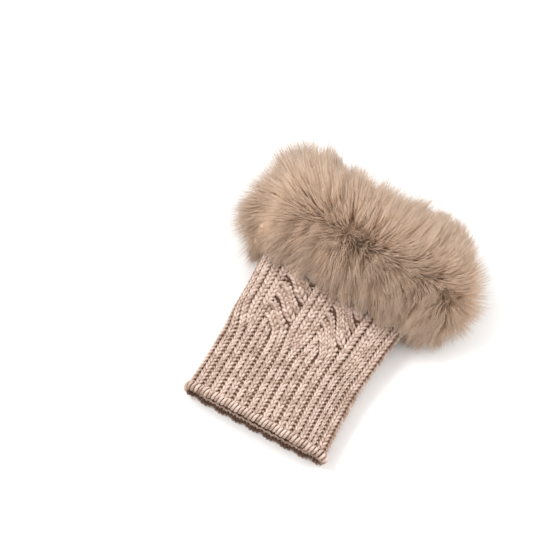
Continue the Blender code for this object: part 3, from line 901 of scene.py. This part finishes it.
def pile_place(share, angle, reach, outer):
    """Where in the pile a point lies: its distance from the hem, and how far it is out of the backing."""
    out = round_table("out", share) * PILE * reach * outer
    along = np.where(angle > 0, round_table("forward", share), round_table("back", share)) * PILE * reach
    turned = np.radians(angle)
    lean = np.tan(np.radians(round_table("sweep", share)))
    rise = np.maximum(np.cos(turned), 0.0) * out
    return STRIP_START + STRIP_WIDTH / 2 + np.sin(turned) * (STRIP_WIDTH / 2 + along) + rise * lean, rise


def pile_point(share, angle, reach, outer=1.0):
    """A point of the pile in the frame, at an angle between back over the knit (-90) and the fingers (90)."""
    along, rise = pile_place(share, angle, reach, outer)
    backing = BACKING_FLOOR + BACKING
    floor = np.where(along < STRIP_START, max(backing, CABLE_HEIGHT + PILE_CLEARANCE), backing)
    point = tube_surface(share, along, floor + rise)
    point[..., 2] = np.maximum(point[..., 2], 0.0)
    return point


def combed(share, angle):
    """Where a hair's tip lies, from where its root does."""
    from_parting = 4.0 * ((share - PARTING_SHARE + 0.5) % 1.0 - 0.5)
    fan = COMB_FAN * np.tanh(FAN_SHARPNESS * from_parting) * np.clip(1.0 - from_parting**2, 0.0, 1.0)
    tilt = COMB_TILT * np.tanh((angle - PARTING_ANGLE) / TILT_REACH)
    far = np.hypot(from_parting / SWIRL_REACH[0], (angle - PARTING_ANGLE) / SWIRL_REACH[1])
    swirl = np.radians(COMB_SWIRL) * np.exp(-far)
    turned = fan * np.cos(swirl) - tilt * DEGREE_OF_SHARE * np.sin(swirl)
    tilt = tilt * np.cos(swirl) + fan / DEGREE_OF_SHARE * np.sin(swirl)
    return share + turned, np.clip(angle + tilt, -FLATTEST, FLATTEST)


def in_locks(share, angle):
    """The tips' shares and reaches, gathered into locks at the cuff's edges."""
    forward, back = (round_table(side, share, FRINGE) for side in ("forward", "back"))
    reach = 1.0 + (forward - 1.0) * smooth_step(*TO_FORWARD, angle) + (back - 1.0) * smooth_step(*TO_BACK, angle)
    wide = 2 * np.pi * (WIDE_LOCKS * share + LOCK_WANDER * np.sin(6 * np.pi * share))
    narrow = 2 * np.pi * NARROW_LOCKS * share + NARROW_START
    edge = smooth_step(*LOCKS_BACK, angle) + FORWARD_SIZE * smooth_step(*LOCKS_FORWARD, angle)
    reach = reach + CLUMPING * edge * (np.cos(wide) + NARROW_SIZE * np.cos(narrow))
    return share - edge * (WIDE_PULL * np.sin(wide) + NARROW_PULL * np.sin(narrow)), reach


def fur_scalp(material):
    """The dense undercoat, with the direction and length of the hair at each point."""
    angles = np.linspace(-90.0, 90.0, SCALP_ACROSS)
    even = np.arange(SCALP_AROUND) / SCALP_AROUND
    share = (even - SIDE_CROWDING * np.sin(4.0 * np.pi * even))[:, None]
    roots = pile_point(share, angles[None, :], SCALP_REACH)
    tip_share, tip_angle = combed(share, angles[None, :])
    tip_share, reach = in_locks(tip_share, tip_angle)
    tips = pile_point(tip_share, tip_angle, reach, round_table("out", tip_share, FRINGE))
    strip = np.array([STRIP_START + STRIP_WIDTH, STRIP_START + STRIP_WIDTH / 2, STRIP_START])
    inner = tube_surface(share, strip[None, :], BACKING_FLOOR)
    mesh = grid_mesh("fur_undercoat", np.concatenate([roots, inner], axis=1))
    comb = np.concatenate([tips - roots, np.zeros_like(inner)], axis=1)
    cover = np.where(roots[..., 2] < BARE_BELOW, 0.0, 1.0)
    cover = np.concatenate([cover, np.zeros(inner.shape[:2])], axis=1)
    add_attribute(mesh, "comb", "FLOAT_VECTOR", comb)
    add_attribute(mesh, "cover", "FLOAT", cover)
    mesh.materials.append(material)
    return new_object("fur_undercoat", mesh)


def hair_shape(name, sides, rings):
    """One hair, a unit long and closed, thinning to its tip."""
    points, faces, tip = [], [], []
    for k in range(rings):
        z = k / rings
        size = 1.0 - HAIR_TAPER * z * z
        for n in range(sides):
            turn = 2 * math.pi * n / sides
            points.append((size * math.cos(turn), size * math.sin(turn), z))
            tip.append(z)
    points.append((0.0, 0.0, 1.0))
    tip.append(1.0)
    for n in range(sides):
        after = (n + 1) % sides
        for k in range(rings - 1):
            a, b = k * sides, (k + 1) * sides
            faces.append((a + n, a + after, b + after, b + n))
        faces.append(((rings - 1) * sides + n, (rings - 1) * sides + after, len(points) - 1))
    faces.append(tuple(reversed(range(sides))))
    mesh = bpy.data.meshes.new(name)
    mesh.from_pydata(points, [], faces)
    mesh.shade_smooth()
    add_attribute(mesh, "tip", "FLOAT", tip)
    made = new_object(name, mesh)
    made.hide_render = True
    return made


def fur_tree():
    """Grows hair on a surface: scattered by seed, combed by its attributes, gathered into pointed tufts."""
    floats = [label for label in COATS if label not in ("name", "rings", "Seed")]
    sockets = {"Hair": "NodeSocketObject", **dict.fromkeys(floats, "NodeSocketFloat")}
    tree, given, output = new_geometry_tree(
        "combed_fur", {**sockets, "Seed": "NodeSocketInt", "Material": "NodeSocketMaterial"}
    )
    add = functools.partial(add_node, tree)
    times, plus = {"operation": "MULTIPLY"}, {"operation": "ADD"}

    # Roots, and the way that the comb sends each hair
    cover = add("GeometryNodeInputNamedAttribute", {"data_type": "FLOAT"}, {"Name": "cover"})
    density = add("ShaderNodeMath", times, [cover.outputs["Attribute"], given["Hairs per Square Metre"]])
    spread = add(
        "GeometryNodeDistributePointsOnFaces",
        {"distribute_method": "RANDOM"},
        {"Mesh": given["Geometry"], "Density": density, "Seed": given["Seed"]},
    )
    comb = add("GeometryNodeInputNamedAttribute", {"data_type": "FLOAT_VECTOR"}, {"Name": "comb"})
    comb = comb.outputs["Attribute"]
    place = add("GeometryNodeInputPosition")
    far = add("ShaderNodeVectorMath", {"operation": "LENGTH"}, [comb]).outputs["Value"]

    # Three things turn it: the patch that bends together, its tuft's middle, and its own stray
    wander = add("ShaderNodeTexNoise", inputs={"Vector": place, "Scale": WANDERS_PER_METRE, "Detail": 2.0})
    half = (0.5, 0.5, 0.5)
    wander = add("ShaderNodeVectorMath", {"operation": "SUBTRACT"}, [wander.outputs["Color"], half])
    per_metre = add("ShaderNodeMath", {"operation": "DIVIDE"}, [1.0, given["Tuft Size"]])
    cell = add("ShaderNodeTexVoronoi", inputs={"Vector": place, "Scale": per_metre})
    to_centre = add("ShaderNodeVectorMath", {"operation": "SUBTRACT"}, [cell.outputs["Position"], place])
    stray = add(
        "FunctionNodeRandomValue",
        {"data_type": "FLOAT_VECTOR"},
        {0: (-1.0, -1.0, -1.0), 1: (1.0, 1.0, 1.0), "Seed": given["Seed"]},
    )
    way = comb
    for turned, by in (
        (wander, add("ShaderNodeMath", times, [far, WANDER])),
        (to_centre, given["Tuft Pull"]),
        (stray, add("ShaderNodeMath", times, [far, given["Stray"]])),
    ):
        part = add("ShaderNodeVectorMath", {"operation": "SCALE"}, {0: turned, "Scale": by})
        way = add("ShaderNodeVectorMath", plus, [way, part])

    # A hair of its own length at each root
    some = add(
        "FunctionNodeRandomValue",
        {"data_type": "FLOAT"},
        {
            2: given["Shortest"],
            3: given["Longest"],
            "Seed": add("ShaderNodeMath", plus, [given["Seed"], 1.0]),
        },
    )
    length = add("ShaderNodeVectorMath", {"operation": "LENGTH"}, [way]).outputs["Value"]
    length = add("ShaderNodeMath", times, [length, some.outputs[1]])
    size = add("ShaderNodeCombineXYZ", inputs=[given["Width"], given["Width"], length])
    turn = add(
        "FunctionNodeAxesToRotation",
        {"primary_axis": "Z", "secondary_axis": "Y"},
        {"Primary Axis": way, "Secondary Axis": spread.outputs["Normal"]},
    )
    hair = add("GeometryNodeObjectInfo", inputs={"Object": given["Hair"]})
    placed = add(
        "GeometryNodeInstanceOnPoints",
        inputs={"Points": spread, "Instance": hair.outputs["Geometry"], "Rotation": turn, "Scale": size},
    )

    # Its tone: random from hair to hair and by coat, with painted shade between the tufts; and how it bows
    edge = add("ShaderNodeMath", times, [cell.outputs["Distance"], TUFT_SHADE])
    tone = add(
        "FunctionNodeRandomValue",
        {"data_type": "FLOAT"},
        {2: -HAIR_SHADE, 3: HAIR_SHADE, "Seed": add("ShaderNodeMath", plus, [given["Seed"], 2.0])},
    )
    tone = add("ShaderNodeMath", plus, [tone.outputs[1], edge])
    tone = add("ShaderNodeMath", plus, [tone, given["Shade"]])
    bow = add("ShaderNodeMath", times, [length, given["Bow"]])
    bow = add("ShaderNodeVectorMath", {"operation": "SCALE"}, {0: spread.outputs["Normal"], "Scale": bow})
    stored = placed
    for name, kind, value in (("shade", "FLOAT", tone), ("bow_way", "FLOAT_VECTOR", bow)):
        stored = add(
            "GeometryNodeStoreNamedAttribute",
            {"data_type": kind, "domain": "INSTANCE"},
            {"Geometry": stored, "Name": name, "Value": value},
        )
    real = add("GeometryNodeRealizeInstances", inputs={"Geometry": stored})
    tip = add("GeometryNodeInputNamedAttribute", {"data_type": "FLOAT"}, {"Name": "tip"})
    bow = add("GeometryNodeInputNamedAttribute", {"data_type": "FLOAT_VECTOR"}, {"Name": "bow_way"})
    arch = add("ShaderNodeMath", times, [tip.outputs["Attribute"], math.pi])
    arch = add("ShaderNodeMath", {"operation": "SINE"}, [arch])
    lifted = add("ShaderNodeVectorMath", {"operation": "SCALE"}, {0: bow.outputs["Attribute"], "Scale": arch})
    lifted = add("ShaderNodeVectorMath", plus, [place, lifted])
    moved = above_floor(tree, real, lifted)
    dressed = add("GeometryNodeSetMaterial", inputs={"Geometry": moved, "Material": given["Material"]})
    tree.links.new(dressed.outputs["Geometry"], output.inputs["Geometry"])
    return tree


def build_knit():
    wool = merino_yarn("merino_yarn", ("#9C7E6C", "#E2CCBF"), "#543A2C")
    # A darker copy of the wool: painted shade for the gutters' bumps, the inside and the wall.
    painted_shade_wool = merino_yarn("merino_yarn_painted_shade", ("#957664", "#C9B09F"), "#543A2C")
    tree = stitch_tree()
    vee = yarn_piece("yarn_vee", LEG, 8, 7, True)
    plain_vee = yarn_piece("yarn_vee_plain", LEG, 5, 5, True)
    bar = yarn_piece("yarn_bar", BAR, 5, 5, False)
    loop = yarn_piece("yarn_loop", LOOP, 8, 9, False)
    cables = [column for cable, count in zip(CABLES, STRAND_COLUMNS) for column in cable_columns(cable, count)]
    split = RIBBED_LENGTH - 0.006
    inside = inner_bars(0.0, 0.026) + inner_bars(0.132, 0.149)
    cast_on = hem_loops(0.0012, 1) + hem_loops(KNIT_LENGTH - 0.0012, -1)
    pieces = [
        knit_piece("knit_ribs", upper_columns(0.0, split), vee, wool, tree, 1),
        knit_piece("knit_panels", upper_columns(split, KNIT_END), vee, wool, tree, 2),
        knit_piece("knit_cables", cables, vee, wool, tree, 3),
        knit_piece("knit_under_ribs", lower_columns(), plain_vee, wool, tree, 4),
        knit_piece("knit_gutters", gutter_bars(), bar, painted_shade_wool, tree, 5),
        knit_piece("knit_inside", inside, bar, painted_shade_wool, tree, 6),
        knit_piece("knit_cast_on", cast_on, loop, wool, tree, 7),
        knit_wall(painted_shade_wool),
    ]
    for template in (vee, plain_vee, bar, loop):
        bpy.data.objects.remove(template)
    for piece in pieces:
        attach(piece, "root")
    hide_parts("knit_tube")


def build_fur():
    scalp = fur_scalp(fur_undercoat_wool("fur_undercoat_wool"))
    stops = ((0.0, "#D0AE92"), (0.30, "#E1C3A8"), (0.62, "#E0C5AE"), (0.95, "#EAD9C9"))
    hair = fur_hair("soft_fur_hair", stops)
    tree = fur_tree()
    pieces = [scalp]
    for values in zip(*COATS.values()):
        settings = dict(zip(COATS, values))
        name = settings.pop("name")
        shape = hair_shape("hair_shape", 3, settings.pop("rings"))
        pieces.append(grown(scalp, tree, name, {"Hair": shape, "Material": hair, **settings}))
        bpy.data.objects.remove(shape)
    for piece in pieces:
        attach(piece, "root")
    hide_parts("fur_cuff")


def build_stage():
    """A pale seamless floor, soft light from the upper left, and the camera at the photo's angle."""
    bpy.ops.mesh.primitive_plane_add(size=6.0, location=(0.0, 0.0, 0.0))
    floor = bpy.context.object
    floor.name = "floor"
    made, tree, output = new_material("pale_floor")
    shader = add_node(
        tree, "ShaderNodeBsdfPrincipled", inputs={"Base Color": hex_colour("#F7F6F5"), "Roughness": 0.9}
    )
    tree.links.new(shader.outputs[0], output.inputs["Surface"])
    floor.data.materials.append(made)

    azimuth, elevation = math.radians(CAMERA_AZIMUTH), math.radians(CAMERA_ELEVATION)
    back = Vector(
        (
            math.sin(azimuth) * math.cos(elevation),
            -math.cos(azimuth) * math.cos(elevation),
            math.sin(elevation),
        )
    )
    right = Vector((math.cos(azimuth), math.sin(azimuth), 0.0))
    camera = bpy.data.objects.new("camera", bpy.data.cameras.new("camera"))
    camera.data.lens = CAMERA_LENS
    camera.data.sensor_width = 36.0
    camera.location = CAMERA_AIM + back * CAMERA_DISTANCE
    camera.rotation_mode = "QUATERNION"
    camera.rotation_quaternion = (-back).to_track_quat("-Z", "Y")
    bpy.context.scene.collection.objects.link(camera)
    bpy.context.scene.camera = camera

    def soft_light(name, power, size, place):
        lamp = bpy.data.lights.new(name, "AREA")
        lamp.energy = power
        lamp.shape = "DISK"
        lamp.size = size
        made = bpy.data.objects.new(name, lamp)
        made.location = place
        made.rotation_euler = (-Vector(place)).to_track_quat("-Z", "Y").to_euler()
        bpy.context.scene.collection.objects.link(made)

    up = back.cross(right)
    key = -right * 0.9 + Vector((0, 0, 1.25)) + up * 0.5
    soft_light("key_light", 15.0, 0.9, tuple(key))
    soft_light("fill_light", 6.0, 1.4, tuple(right * 1.1 + Vector((0, 0, 1.0))))
    world = bpy.data.worlds.new("studio")
    world.use_nodes = True
    world.node_tree.nodes["Background"].inputs["Color"].default_value = (1.0, 1.0, 1.0, 1.0)
    world.node_tree.nodes["Background"].inputs["Strength"].default_value = 1.0
    bpy.context.scene.world = world
    bpy.context.scene.view_settings.view_transform = "Standard"


build_stage()
build_knit()
build_fur()
